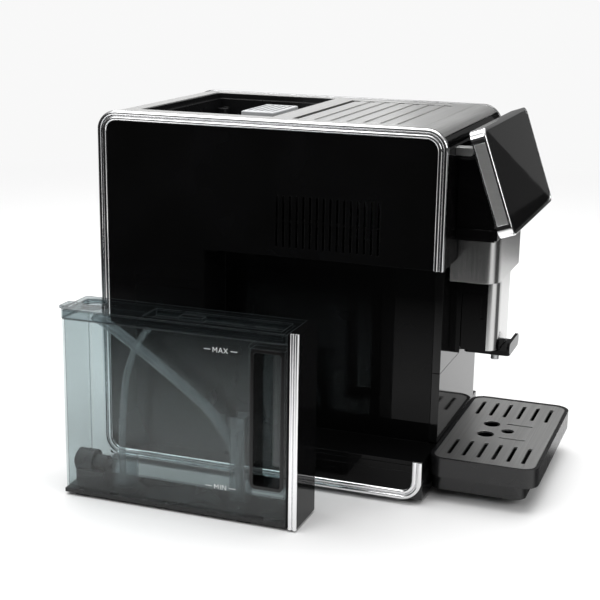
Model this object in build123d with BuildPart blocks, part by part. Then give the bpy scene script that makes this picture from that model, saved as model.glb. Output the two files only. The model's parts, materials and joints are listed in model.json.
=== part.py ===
from build123d import *
import math
import os

os.makedirs("parts", exist_ok=True)

# Bean-to-cup coffee machine with its water tank standing beside it.
# Millimetres, +Z up, front towards -Y, machine's left side towards -X.
# The origin is the bottom centre of the whole set's box.

# Driving dimensions of the machine
width = 240
height = 365
depth = 342.5              # lower front plane to the back
head_step = 12.5           # upper front stands ahead of the lower front
tray_reach = 107           # drip tray ahead of the lower front
foot_height = 5
corner = 21                # outer corner radius of the side outline
clearance = 0.3

# Skins
trim_face = 10             # width of the chrome trim, seen from the side
trim_depth = 6             # its depth into the machine
trim_land = 2              # how far the side panels lie inside the trim
steel = 2.5                # steel top, hood and band
wall = 3                   # black mouldings

# Tank bay in the left side
bay_floor = 45
bay_top = 234.5
bay_depth = 57.5
bay_back = 229
ledge_bottom = 34          # bottom of the bay floor's edge band

# Water tank, and where it stands on the table
tank_gap = 1               # play of the tank in its bay, each way
tank_out = 100             # near face of the tank, out from the machine's side
tank_behind = 91           # front of the tank, back from the lower front
tank_foot = 3
tank_wall = 2.5

# Front: drawer, display, head and spout
tray_top = 46
sill_top = tray_top + 0.4
drawer_top = 118
front_round = 22           # rounded lower front corner on the right
display_width = 204
display_height = 102
display_depth = 14.5
display_tilt = 19.2        # lean of the display, bottom forward
head_width = 142
band_width = 120
band_height = 43
spout_width = 64
spout_bottom = 138

# Offsets from the machine's own corner to the origin
left = (tank_out - width) / 2
front = (tray_reach - depth) / 2
middle = width / 2
inner_left = trim_depth
inner_right = width - trim_depth


def level(z):
    """Horizontal plane at height z: local x is right, local y is back."""
    return Plane(origin=(left, front, z), x_dir=(1, 0, 0), z_dir=(0, 0, 1))


def side(x):
    """Upright plane at x from the left side: local x is back, y is up."""
    return Plane(origin=(left + x, front, 0), x_dir=(0, 1, 0), z_dir=(1, 0, 0))


def face(y):
    """Upright plane at y from the lower front: extrusions go forward."""
    return Plane(origin=(left, front + y, 0), x_dir=(1, 0, 0), z_dir=(0, -1, 0))


def block(x, y, z, mode=Mode.ADD):
    """Box between two corners, each argument a (low, high) pair."""
    with Locations((left + x[0], front + y[0], z[0])):
        Box(x[1] - x[0], y[1] - y[0], z[1] - z[0],
            align=(Align.MIN, Align.MIN, Align.MIN), mode=mode)


def rod(plane, x, y, radius, length, mode=Mode.ADD):
    """Cylinder standing on a plane at its local point x, y."""
    with Locations(plane.location * Location((x, y, 0))):
        Cylinder(radius, length, align=(Align.CENTER, Align.CENTER, Align.MIN), mode=mode)


def plate(plane, x, y, radius, thick, mode=Mode.ADD):
    """Round-cornered plate on a plane, between local (low, high) pairs."""
    with BuildSketch(plane) as outline:
        with Locations(((x[0] + x[1]) / 2, (y[0] + y[1]) / 2)):
            RectangleRounded(x[1] - x[0], y[1] - y[0], radius)
    extrude(outline.sketch, amount=thick, mode=mode)


def side_outline(inset):
    """The machine seen from the side, drawn in by an inset."""
    low = foot_height + inset
    high = height - inset
    back = depth - inset
    step = bay_top - inset
    with BuildSketch() as shape:
        with BuildLine():
            Polyline((inset, step), (inset, low), (back, low), (back, high),
                     (inset - head_step, high), (inset - head_step, step), close=True)
        make_face()
        round_ends = [point for point in shape.vertices() if abs(point.Y - step) > 1]
        fillet(round_ends, corner - inset)
    return shape.sketch


def finish(piece, name):
    """Label a finished piece and write its file."""
    piece.part.label = name
    export_step(piece.part, "parts/" + name + ".step")


# ---------------------------------------------------------------- chrome trims
groove = 1.6               # groove between the two ridges
groove_depth = 1.4
right_trim_end = 38        # the right trim's lower end, behind the drip tray


def trim_ring(x, low):
    """Chrome side trim: a round-cornered ring, open at the lower front from a height up."""
    extrude(side(x) * (side_outline(0) - side_outline(trim_face)), amount=trim_depth)
    block((x, x + trim_depth), (-head_step, corner + trim_face), (low, bay_top), Mode.SUBTRACT)


def trim_groove(plane):
    """Groove that splits the trim's face into two ridges."""
    edge = (trim_face - groove) / 2
    extrude(plane * (side_outline(edge) - side_outline(edge + groove)),
            amount=groove_depth, mode=Mode.SUBTRACT)


with BuildPart() as left_trim:
    trim_ring(0, bay_floor)
    trim_groove(side(0))
finish(left_trim, "left_trim")

with BuildPart() as right_trim:
    trim_ring(inner_right, right_trim_end)
    trim_groove(side(width - groove_depth))
finish(right_trim, "right_trim")

# ---------------------------------------------------------------- side panels
panel_fit = 0.2
panel_thick = trim_depth - trim_land
vent_count = 16
vent_pitch = 6.75
vent_first = 51            # first slot, back from the lower front
vent_low = 243.5
vent_high = 294
vent_width = 2.4
vent_row = (vent_count - 1) * vent_pitch
vent_rib = 2               # rib behind the slots, halfway up


def panel_vents(plane, rib_x):
    """Row of upright vent slots through a side panel, with a rib across their backs."""
    with BuildSketch(plane) as slots:
        with Locations((vent_first + vent_row / 2, (vent_low + vent_high) / 2)):
            with GridLocations(vent_pitch, 0, vent_count, 1):
                SlotOverall(vent_high - vent_low, vent_width, rotation=90)
    extrude(slots.sketch, amount=panel_thick, mode=Mode.SUBTRACT)
    rib_low = (vent_low + vent_high - vent_rib) / 2
    block(rib_x, (vent_first - vent_pitch, vent_first + vent_row + vent_pitch),
          (rib_low, rib_low + vent_rib))


with BuildPart() as left_side_panel:
    extrude(side(trim_land) * side_outline(trim_face + panel_fit), amount=panel_thick)
    block((0, inner_left), (-corner, bay_back), (ledge_bottom, bay_top), Mode.SUBTRACT)
    panel_vents(side(trim_land), (inner_left - panel_thick / 2, inner_left))
finish(left_side_panel, "left_side_panel")

with BuildPart() as right_side_panel:
    extrude(side(inner_right) * side_outline(trim_face + panel_fit), amount=panel_thick)
    block((inner_right, width), (0, front_round + clearance),
          (sill_top, bay_top), Mode.SUBTRACT)
    panel_vents(side(inner_right), (inner_right, inner_right + panel_thick / 2))
finish(right_side_panel, "right_side_panel")

# ---------------------------------------------------------------- base and feet
base_front = 0.2
base_back = depth - 4.5
base_rim = 31
foot_inset = 32
foot_radius = 11

with BuildPart() as base_pan:
    block((inner_left, inner_right), (base_front, base_back), (foot_height, base_rim))
    block((inner_left + wall, inner_right - wall), (base_front + wall, base_back - wall),
          (foot_height + wall, base_rim), Mode.SUBTRACT)
    block((bay_depth + wall, inner_right), (base_front, base_front + wall), (base_rim, sill_top))
    with BuildSketch(level(foot_height)) as drain_slots:
        with Locations((width * 0.55, depth * 0.5)):
            with GridLocations(0, 12, 1, 8):
                SlotOverall(60, 4)
    extrude(drain_slots.sketch, amount=wall, mode=Mode.SUBTRACT)
finish(base_pan, "base_pan")

with BuildPart() as machine_feet:
    for foot_x in (foot_inset, width - foot_inset):
        for foot_y in (foot_inset, base_back - foot_inset):
            rod(level(0), foot_x, foot_y, foot_radius, foot_height)
    chamfer(machine_feet.faces().sort_by(Axis.Z)[:4].edges(), 1)
finish(machine_feet, "machine_feet")

# ---------------------------------------------------------------- bay liner
liner_right = bay_depth + wall
liner_back = bay_back + wall
liner_front = 0.5
door_return = 8            # depth of the front mouldings' side return
socket_x = 27
socket_z = 74
socket_hole = 8
hose_radius = 3
ledge_groove_z = 40.5

with BuildPart() as bay_liner:
    block((inner_left, liner_right), (liner_front, liner_back), (base_rim, bay_top + wall))
    block((0, bay_depth), (-corner, bay_back), (bay_floor, bay_top), Mode.SUBTRACT)
    block((bay_depth, liner_right), (0, door_return + clearance),
          (ledge_bottom, bay_top + wall), Mode.SUBTRACT)
    block((trim_land, inner_left), (trim_face + 0.4, bay_back - panel_fit),
          (ledge_bottom + panel_fit, bay_floor))
    block((trim_land, trim_land + 1), (trim_face, bay_back),
          (ledge_groove_z, ledge_groove_z + 1.2), Mode.SUBTRACT)
    rod(face(liner_back), socket_x, socket_z, socket_hole, wall, Mode.SUBTRACT)
finish(bay_liner, "bay_liner")

with BuildPart() as tank_socket:
    rod(face(liner_back + 14), socket_x, socket_z, 15, 14)
    rod(face(liner_back + 14), socket_x, socket_z, hose_radius + clearance, 14, Mode.SUBTRACT)
    rod(face(liner_back), socket_x, socket_z, socket_hole - clearance, wall)
    rod(face(liner_back), socket_x, socket_z, hose_radius - 0.5, wall, Mode.SUBTRACT)
    block((socket_x - 4, socket_x + 4), (liner_back + 4, liner_back + 14),
          (socket_z + 12, socket_z + 24))
finish(tank_socket, "tank_socket")

# ---------------------------------------------------------------- rear panel
rear_front = base_back
rear_thick = 4
rear_low = foot_height + trim_face
rear_high = height - corner
inlet_x = 196
inlet_z = 62
switch_x = 152
inlet_width = 27
inlet_height = 20
switch_width = 21
switch_height = 15

with BuildPart() as rear_panel:
    block((inner_left, inner_right), (rear_front, rear_front + rear_thick), (rear_low, rear_high))
    with BuildSketch(face(rear_front + rear_thick)) as rear_openings:
        with Locations((inlet_x, inlet_z)):
            Rectangle(inlet_width, inlet_height)
        with Locations((switch_x, inlet_z)):
            Rectangle(switch_width, switch_height)
        with Locations((middle, 250)):
            with GridLocations(9, 0, 13, 1):
                SlotOverall(60, 3, rotation=90)
    extrude(rear_openings.sketch, amount=rear_thick, mode=Mode.SUBTRACT)
    with Locations(*[face(rear_front + rear_thick).location * Location((x, z, 0), (0, 180, 0))
                     for x in (20, width - 20) for z in (35, 180, 325)]):
        CounterBoreHole(1.7, 3.4, 1.8, depth=rear_thick)
finish(rear_panel, "rear_panel")

with BuildPart() as rear_screws:
    for screw_x in (20, width - 20):
        for screw_z in (35, 180, 325):
            rod(face(rear_front + rear_thick), screw_x, screw_z, 3.2, 1.7)
            rod(face(rear_front + rear_thick - 1.7), screw_x, screw_z, 1.5, 10)
            rod(face(rear_front + rear_thick), screw_x, screw_z, 1.2, 1, Mode.SUBTRACT)
finish(rear_screws, "rear_screws")

with BuildPart() as mains_inlet:
    block((inlet_x - inlet_width / 2 + 0.2, inlet_x + inlet_width / 2 - 0.2),
          (rear_front - 16, rear_front + rear_thick),
          (inlet_z - inlet_height / 2 + 0.2, inlet_z + inlet_height / 2 - 0.2))
    plate(face(rear_front), (inlet_x - 17, inlet_x + 17), (inlet_z - 13, inlet_z + 13), 3, 2)
    block((inlet_x - 11, inlet_x + 11), (rear_front - 12, rear_front + rear_thick),
          (inlet_z - 7, inlet_z + 7), Mode.SUBTRACT)
    for pin_x, pin_z in ((-7, -2), (0, 2), (7, -2)):
        block((inlet_x + pin_x - 1, inlet_x + pin_x + 1), (rear_front - 12, rear_front + 2),
              (inlet_z + pin_z - 2, inlet_z + pin_z + 2))
finish(mains_inlet, "mains_inlet")

rocker_half = 8.5
rocker_pin = 1.2
rocker_pin_reach = 6.9      # each pin's end, up or down from the rocker's middle
rocker_axis = rear_front - 4

with BuildPart() as switch_frame:
    block((switch_x - switch_width / 2 + 0.2, switch_x + switch_width / 2 - 0.2),
          (rear_front - 12, rear_front + rear_thick),
          (inlet_z - switch_height / 2 + 0.2, inlet_z + switch_height / 2 - 0.2))
    plate(face(rear_front), (switch_x - 13, switch_x + 13), (inlet_z - 10, inlet_z + 10), 2, 2)
    block((switch_x - rocker_half - 0.4, switch_x + rocker_half + 0.4),
          (rear_front - 10, rear_front + rear_thick), (inlet_z - 6, inlet_z + 6), Mode.SUBTRACT)
    rod(level(inlet_z - inlet_height / 2), switch_x, rocker_axis, rocker_pin + 0.05, inlet_height,
        Mode.SUBTRACT)
finish(switch_frame, "switch_frame")

with BuildPart() as rocker_switch:
    with BuildSketch(level(inlet_z - 5.5)) as rocker_shape:
        with BuildLine(Location((switch_x, rocker_axis))):
            Polyline((-rocker_half + 0.6, 6.3), (-rocker_half + 0.6, 1), (-3, -4), (3, -4),
                     (rocker_half - 0.6, 1), (rocker_half - 0.6, 6.3))
            ThreePointArc((rocker_half - 0.6, 6.3), (0, 5), (-rocker_half + 0.6, 6.3))
        make_face()
    extrude(rocker_shape.sketch, amount=11)
    rod(level(inlet_z - rocker_pin_reach), switch_x, rocker_axis, rocker_pin, 2 * rocker_pin_reach)
finish(rocker_switch, "rocker_switch")

# ---------------------------------------------------------------- steel top
top_face = height - 1      # the steel top lies just inside the trims
top_seam = 16              # seam between top panel and front hood
hopper_x = (30, 222)
hopper_y = (168, 309)
warmer_x = (26, 215)
warmer_y = (36, 147)
arc_centre = corner - head_step
hood_radius = corner - 1
hood_end = 42              # the hood's lip, degrees above level
back_arc = depth - 1 - hood_radius

with BuildPart() as top_panel:
    with BuildSketch(side(inner_left + 0.2)) as top_profile:
        with BuildLine():
            Polyline((back_arc, top_face - steel), (top_seam + 0.2, top_face - steel),
                     (top_seam + 0.2, top_face), (back_arc, top_face))
            CenterArc((back_arc, top_face - hood_radius), hood_radius, 0, 90)
            Line((back_arc + hood_radius, top_face - hood_radius),
                 (back_arc + hood_radius - steel, top_face - hood_radius))
            CenterArc((back_arc, top_face - hood_radius), hood_radius - steel, 0, 90)
        make_face()
    extrude(top_profile.sketch, amount=inner_right - inner_left - 0.4)
    block(hopper_x, hopper_y, (top_face - steel, top_face), Mode.SUBTRACT)
    block(warmer_x, warmer_y, (top_face - steel, top_face), Mode.SUBTRACT)
finish(top_panel, "top_panel")

hood_lip = (arc_centre - hood_radius * math.cos(math.radians(hood_end)),
            top_face - hood_radius + hood_radius * math.sin(math.radians(hood_end)))
hood_lip_in = (arc_centre - (hood_radius - steel) * math.cos(math.radians(hood_end)),
               top_face - hood_radius + (hood_radius - steel) * math.sin(math.radians(hood_end)))

with BuildPart() as front_hood:
    with BuildSketch(side(inner_left + 0.2)) as hood_profile:
        with BuildLine():
            Polyline((arc_centre, top_face), (top_seam - 0.2, top_face),
                     (top_seam - 0.2, top_face - steel), (arc_centre, top_face - steel))
            CenterArc((arc_centre, top_face - hood_radius), hood_radius - steel, 90, 90 - hood_end)
            Line(hood_lip_in, hood_lip)
            CenterArc((arc_centre, top_face - hood_radius), hood_radius, 90, 90 - hood_end)
        make_face()
    extrude(hood_profile.sketch, amount=inner_right - inner_left - 0.4)
finish(front_hood, "front_hood")

# Black moulding under the steel: hopper well and cup warmer pan
well_floor = 305
well_wall = 2.5
ledge_wide = 6             # the well narrows below this ledge, which a lid would rest on
ledge_drop = 6
moulding_top = top_face - steel - 0.1
pan_floor = 355
burr_x = middle
burr_y = 212
chute_radius = 22

with BuildPart() as top_moulding:
    block((14, width - 10), (24, 316), (moulding_top - wall, moulding_top))
    block((hopper_x[0] + 0.2, hopper_x[1] - 0.2), (hopper_y[0] + 0.2, hopper_y[1] - 0.2),
          (well_floor, top_face - 0.4))
    block((warmer_x[0] - 2, warmer_x[1] + 2), (warmer_y[0] - 2, warmer_y[1] + 2),
          (pan_floor, moulding_top))
    block((warmer_x[0] + 0.2, warmer_x[1] - 0.2), (warmer_y[0] + 0.2, warmer_y[1] - 0.2),
          (pan_floor + 2, moulding_top), Mode.SUBTRACT)
    block((hopper_x[0] + well_wall, hopper_x[1] - well_wall),
          (hopper_y[0] + well_wall, hopper_y[1] - well_wall),
          (top_face - ledge_drop, height), Mode.SUBTRACT)
    block((hopper_x[0] + ledge_wide, hopper_x[1] - ledge_wide),
          (hopper_y[0] + ledge_wide, hopper_y[1] - ledge_wide),
          (well_floor + well_wall, height), Mode.SUBTRACT)
    rod(level(well_floor), burr_x, burr_y, chute_radius, well_wall, Mode.SUBTRACT)
finish(top_moulding, "top_moulding")

rib_count = 6
rib_pitch = 16.3
plate_x = (warmer_x[0] + 1, warmer_x[1] - 3.5)
plate_y = (warmer_y[0] + 1, warmer_y[1] - 3.5)
plate_top = top_face - 1

with BuildPart() as cup_warmer_plate:
    block(plate_x, plate_y, (pan_floor + 2, plate_top))
    with Locations((left + (plate_x[0] + plate_x[1]) / 2,
                    front + (plate_y[0] + plate_y[1]) / 2, plate_top)):
        with GridLocations(0, rib_pitch, 1, rib_count):
            Box(plate_x[1] - plate_x[0] - 4, rib_pitch * 0.6, 0.9,
                align=(Align.CENTER, Align.CENTER, Align.MIN))
finish(cup_warmer_plate, "cup_warmer_plate")

guard_x = (burr_x - 22, burr_x + 48)
guard_y = (193, 229)
guard_top = 360
guard_slots = 5
guard_pitch = 6.4

with BuildPart() as grinder_guard:
    block(guard_x, guard_y, (well_floor + well_wall, guard_top))
    block((guard_x[0] + 2, guard_x[1] - 2), (guard_y[0] + 2, guard_y[1] - 2),
          (well_floor + well_wall, guard_top - 3), Mode.SUBTRACT)
    with BuildSketch(level(guard_top - 3)) as guard_openings:
        with Locations(((guard_x[0] + guard_x[1]) / 2, (guard_y[0] + guard_y[1]) / 2)):
            with GridLocations(0, guard_pitch, 1, guard_slots):
                SlotOverall(guard_x[1] - guard_x[0] - 12, guard_pitch / 2)
    extrude(guard_openings.sketch, amount=3, mode=Mode.SUBTRACT)
    for bean_gate in (guard_x[0], guard_x[1] - 2):
        block((bean_gate, bean_gate + 2), (guard_y[0] + 10, guard_y[1] - 10),
              (well_floor + well_wall, guard_top - 14), Mode.SUBTRACT)
    fillet(grinder_guard.faces().sort_by(Axis.Z)[-1].outer_wire().edges(), 1.5)
finish(grinder_guard, "grinder_guard")

knob_x = 203
knob_y = 294
knob_radius = 6.5
knob_top = 349
knob_stem = 4

with BuildPart() as grind_knob:
    rod(level(knob_top - 14), knob_x, knob_y, knob_radius, 14)
    rod(level(well_floor + well_wall + clearance), knob_x, knob_y, knob_stem,
        knob_top - 14 - well_floor - well_wall - clearance)
    block((knob_x - 1.5, knob_x + 1.5), (knob_y - knob_radius, knob_y),
          (knob_top, knob_top + 1.5))
finish(grind_knob, "grind_knob")

# ---------------------------------------------------------------- black front
shell_face = -head_step + 1
shell_step = top_face - hood_radius + 2
shell_radius = hood_radius - steel - 0.5
shell_centre = top_face - hood_radius
shell_rise = math.asin((shell_step - shell_centre) / shell_radius)

with BuildPart() as front_shell:
    with BuildSketch(side(inner_left + 0.2)) as shell_profile:
        with BuildLine():
            Polyline((arc_centre, shell_centre + shell_radius),
                     (top_seam - 0.4, shell_centre + shell_radius),
                     (top_seam - 0.4, shell_centre + shell_radius - wall),
                     (arc_centre, shell_centre + shell_radius - wall))
            CenterArc((arc_centre, shell_centre), shell_radius - wall, 90, 90)
            Polyline((arc_centre - shell_radius + wall, shell_centre),
                     (arc_centre - shell_radius + wall, bay_top + wall),
                     (base_front, bay_top + wall), (base_front, bay_top), (shell_face, bay_top),
                     (shell_face, shell_step),
                     (arc_centre - shell_radius * math.cos(shell_rise), shell_step))
            CenterArc((arc_centre, shell_centre), shell_radius, 90,
                      90 - math.degrees(shell_rise))
        make_face()
    extrude(shell_profile.sketch, amount=inner_right - inner_left - 0.4)
finish(front_shell, "front_shell")

# Head housing behind the display, with the shaft that the spout slides in
head_x = (middle - head_width / 2, middle + head_width / 2)
band_x = (middle - band_width / 2, middle + band_width / 2)
band_low = 212.5
band_high = band_low + band_height
band_front = -51.5
band_round = 15
band_back = -5
head_top = 333
spout_x = (middle - spout_width / 2, middle + spout_width / 2)
spout_front = band_front + steel + 0.7
shaft_top = 322
guide_front = shell_face + 0.2
guide_low = 133
spout_play = 0.5

with BuildPart() as head_housing:
    with BuildSketch(side(head_x[0])) as head_profile:
        with BuildLine():
            Polyline((shell_face - 0.2, band_high + 0.3), (band_front + 3, band_high + 0.3),
                     (band_front + 3, 268), (-33, head_top), (shell_face - 0.2, head_top),
                     close=True)
        make_face()
    extrude(head_profile.sketch, amount=head_width)
    block((head_x[0] - 2, head_x[1] + 2), (band_front, shell_face - 0.2), (band_high + 2.5, 267))
    plate(level(band_low + 1), (band_x[0] + steel + 0.2, band_x[1] - steel - 0.2),
          (band_front + steel + 0.2, 0), band_round - steel, band_high - band_low)
    block(band_x, (shell_face - 0.2, 20), (bay_top - 0.3, height), Mode.SUBTRACT)
    block(band_x, (-0.3, 20), (0, height), Mode.SUBTRACT)
    block(spout_x, (guide_front, -0.3), (guide_low, bay_top - 0.3))
    block((spout_x[0] - spout_play, spout_x[1] + spout_play),
          (spout_front - spout_play, guide_front), (band_low, shaft_top), Mode.SUBTRACT)
finish(head_housing, "head_housing")

with BuildPart() as head_band:
    plate(level(band_low), band_x, (band_front, band_back + band_round), band_round, band_height)
    plate(level(band_low), (band_x[0] + steel, band_x[1] - steel),
          (band_front + steel, band_back + band_round), band_round - steel, band_height,
          Mode.SUBTRACT)
    block(band_x, (band_back, band_round), (band_low, band_high), Mode.SUBTRACT)
    block(band_x, (shell_face - 0.3, 0), (bay_top - 0.3, band_high), Mode.SUBTRACT)
finish(head_band, "head_band")

# ---------------------------------------------------------------- display
lean = math.radians(display_tilt)
display_top_y = -39.7
display_top_z = 366.3
hinge_y = -24.5
hinge_z = 341.7
pin_radius = 2.5
arm_x = 34
arm_width = 14
lug_width = 8
bezel = 3
display_corner = 9
cap_height = 12.5
insert_depth = 1


def screen(z=0):
    """Plane on the display's face: local x right, y up the face, origin at its top middle."""
    face_plane = Plane(origin=(left + middle, front + display_top_y, display_top_z),
                       x_dir=(1, 0, 0), z_dir=(0, -math.cos(lean), math.sin(lean)))
    return face_plane.offset(z)


display_half = display_width / 2

with BuildPart() as display_frame:
    plate(screen(-display_depth), (-display_half, display_half), (-display_height, 0),
          display_corner, display_depth)
    outward = Axis(screen().origin, screen().z_dir)
    fillet(display_frame.faces().sort_by(outward)[-1].outer_wire().edges(), 1.6)
    plate(screen(-display_depth), (bezel - display_half, display_half - bezel),
          (bezel - display_height, -bezel), display_corner - bezel, display_depth, Mode.SUBTRACT)
    for edge_x in (-display_half, display_half - insert_depth):
        with BuildSketch(screen(-display_depth + 1.5)) as insert_pocket:
            with Locations((edge_x + insert_depth / 2, -display_height / 2)):
                Rectangle(insert_depth, display_height - 2 * cap_height)
        extrude(insert_pocket.sketch, amount=display_depth - 4, mode=Mode.SUBTRACT)
finish(display_frame, "display_frame")

with BuildPart() as display_inserts:
    for edge_x in (-display_half + 0.1, display_half - insert_depth):
        with BuildSketch(screen(-display_depth + 1.7)) as insert_shape:
            with Locations((edge_x + insert_depth / 2 - 0.05, -display_height / 2)):
                Rectangle(insert_depth - 0.1, display_height - 2 * cap_height - 0.6)
        extrude(insert_shape.sketch, amount=display_depth - 4.4)
finish(display_inserts, "display_inserts")

with BuildPart() as display_glass:
    plate(screen(-3), (bezel + 0.2 - display_half, display_half - bezel - 0.2),
          (bezel + 0.2 - display_height, -bezel - 0.2), display_corner - bezel - 0.2, 2.4)
finish(display_glass, "display_glass")

lug_left = arm_x + arm_width + 1
lug_right = width - lug_left - lug_width

with BuildPart() as display_back:
    plate(screen(-display_depth), (bezel + 0.2 - display_half, display_half - bezel - 0.2),
          (bezel + 0.2 - display_height, -bezel - 0.2), display_corner - bezel - 0.2,
          display_depth - 3.2)
    for lug_x in (lug_left, lug_right):
        rod(side(lug_x), hinge_y, hinge_z, 5.5, lug_width)
        with BuildSketch(side(lug_x)) as lug_web:
            with BuildLine():
                Polyline((hinge_y, hinge_z - 5.5), (-36, hinge_z - 9), (-36, hinge_z + 7),
                         (hinge_y, hinge_z + 5.5), close=True)
            make_face()
        extrude(lug_web.sketch, amount=lug_width)
        rod(side(lug_x), hinge_y, hinge_z, pin_radius + clearance, lug_width, Mode.SUBTRACT)
finish(display_back, "display_back")

arm_half = 3.7

with BuildPart() as display_arms:
    for arm_start in (arm_x, width - arm_x - arm_width):
        block((arm_start, arm_start + arm_width), (hinge_y, shell_face - 0.1),
              (hinge_z - arm_half, hinge_z + arm_half))
        rod(side(arm_start), hinge_y, hinge_z, arm_half, arm_width)
    rod(side(arm_x + arm_width - 1), hinge_y, hinge_z, pin_radius, lug_width + 3)
    rod(side(width - arm_x - arm_width - lug_width - 2), hinge_y, hinge_z, pin_radius,
        lug_width + 3)
finish(display_arms, "display_arms")

# ---------------------------------------------------------------- spout
cover_thick = 1.2
cover_back = -37.5
cover_round = 12
spout_top = 240
lip_drop = 4.5
lip_x = (middle - 24, middle + 24)
lip_front = -60
lip_top = 145
nozzle_y = -44
nozzle_spread = 14
nozzle_low = 126

with BuildPart() as spout_carriage:
    block((spout_x[0] + 0.2, spout_x[1] - 0.2), (cover_back + 0.3, guide_front - 0.7),
          (spout_bottom - 1, spout_top))
    plate(level(spout_bottom - 1), (spout_x[0] + cover_thick + 0.2, spout_x[1] - cover_thick - 0.2),
          (spout_front + cover_thick + 0.2, -20), cover_round - cover_thick,
          spout_top - spout_bottom + 1)
    block((spout_x[0] + 8, spout_x[1] - 8), (-40, -16), (spout_bottom + 18, spout_top),
          Mode.SUBTRACT)
    block((spout_x[0], spout_x[0] + 1), (-34, -31), (170, 190), Mode.SUBTRACT)
finish(spout_carriage, "spout_carriage")

with BuildPart() as spout_cover:
    plate(level(spout_bottom), spout_x, (spout_front, cover_back + 2 * cover_round), cover_round,
          spout_top - spout_bottom)
    plate(level(spout_bottom), (spout_x[0] + cover_thick, spout_x[1] - cover_thick),
          (spout_front + cover_thick, cover_back + 2 * cover_round), cover_round - cover_thick,
          spout_top - spout_bottom, Mode.SUBTRACT)
    block(spout_x, (cover_back, 0), (spout_bottom, spout_top), Mode.SUBTRACT)
finish(spout_cover, "spout_cover")

with BuildPart() as spout_lip:
    with BuildSketch(level(spout_bottom - 1 - lip_drop)) as lip_shape:
        with Locations((middle, (lip_front - 14) / 2)):
            RectangleRounded(lip_x[1] - lip_x[0], -14 - lip_front, 4)
    extrude(lip_shape.sketch, amount=lip_drop)
    with BuildSketch(face(lip_front + 3)) as tab_shape:
        with Locations((middle, (spout_bottom - lip_drop + lip_top) / 2)):
            RectangleRounded(lip_x[1] - lip_x[0], lip_top - spout_bottom + lip_drop, 5)
    extrude(tab_shape.sketch, amount=3)
    for hole_x in (middle - nozzle_spread, middle + nozzle_spread):
        rod(level(spout_bottom - 1 - lip_drop), hole_x, nozzle_y, 4.3, lip_drop, Mode.SUBTRACT)
finish(spout_lip, "spout_lip")

with BuildPart() as spout_nozzles:
    for hole_x in (middle - nozzle_spread, middle + nozzle_spread):
        rod(level(nozzle_low), hole_x, nozzle_y, 4.1, spout_bottom - 1 - nozzle_low)
        rod(level(nozzle_low), hole_x, nozzle_y, 2.2, spout_bottom - 1 - nozzle_low,
            Mode.SUBTRACT)
finish(spout_nozzles, "spout_nozzles")

# ---------------------------------------------------------------- lower front


def front_skin(low, high, thick):
    """Lower front skin: left return, flat face and rounded right corner, seen from above."""
    edge = width - 2
    with BuildSketch(level(low)) as skin:
        with BuildLine():
            Polyline((bay_depth, door_return), (bay_depth, 0), (edge - front_round, 0))
            CenterArc((edge - front_round, front_round), front_round, 270, 90)
            Line((edge, front_round), (edge - thick, front_round))
            CenterArc((edge - front_round, front_round), front_round - thick, 270, 90)
            Polyline((edge - front_round, thick), (bay_depth + thick, thick),
                     (bay_depth + thick, door_return), (bay_depth, door_return))
        make_face()
    extrude(skin.sketch, amount=high - low)


seam = 0.5
front_low = sill_top + clearance

with BuildPart() as front_panel:
    front_skin(drawer_top + seam, bay_top - clearance, wall)
finish(front_panel, "front_panel")

bin_x = (bay_depth + 8, width - 2 - front_round)
bin_y = (wall, 150)
bin_low = sill_top + 0.4
bin_high = 112

with BuildPart() as drawer_front:
    front_skin(front_low, drawer_top, wall)
finish(drawer_front, "drawer_front")

with BuildPart() as grounds_bin:
    block(bin_x, bin_y, (bin_low, bin_high))
    block((bin_x[0] + 2.5, bin_x[1] - 2.5), (bin_y[0] + 2.5, bin_y[1] - 2.5),
          (bin_low + 2.5, bin_high), Mode.SUBTRACT)
finish(grounds_bin, "grounds_bin")

# ---------------------------------------------------------------- drip tray
tray_x = (middle - 101.5, middle + 101.5)
tray_y = (-tray_reach, -0.3)
tray_round = 16
tray_skirt = 27
tray_inset = 13            # the lower tier stands this far inside the upper one
tier_round = 12
tray_low = 9
tray_wall = 3
tray_foot = 6              # radius of the two feet that carry the tray's front
tray_rim = 3.5
grid_thick = 2
grid_top = tray_top - 0.4
grid_fit = 0.5
slot_rows = 6
slot_pitch = 14.6
slot_length = 43
slot_width = 3.8
slot_spread = 62.5         # slot rows' middle, out from the grid's middle
slot_middle = -53.6
float_y = -58.6
float_radius = 5

with BuildPart() as drip_tray:
    plate(level(tray_skirt), tray_x, tray_y, tray_round, tray_top - tray_skirt)
    plate(level(tray_low), (tray_x[0] + tray_inset, tray_x[1] - tray_inset),
          (tray_y[0] + tray_inset, tray_y[1]), tier_round, tray_skirt - tray_low + tray_wall)
    plate(level(grid_top - grid_thick), (tray_x[0] + tray_rim, tray_x[1] - tray_rim),
          (tray_y[0] + tray_rim, tray_y[1] - tray_rim), tray_round - tray_rim, 5, Mode.SUBTRACT)
    plate(level(tray_low + tray_wall),
          (tray_x[0] + tray_inset + tray_wall, tray_x[1] - tray_inset - tray_wall),
          (tray_y[0] + tray_inset + tray_wall, tray_y[1] - 8), tier_round - tray_wall, height,
          Mode.SUBTRACT)
    rod(level(tray_low + tray_wall - 1), middle, float_y, float_radius + 3.5, 19)
    rod(level(tray_low + tray_wall), middle, float_y, float_radius + 1, 30, Mode.SUBTRACT)
    for foot_x in (tray_x[0] + 40, tray_x[1] - 40):
        rod(level(clearance), foot_x, tray_y[0] + 34, tray_foot, tray_low)
finish(drip_tray, "drip_tray")

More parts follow.
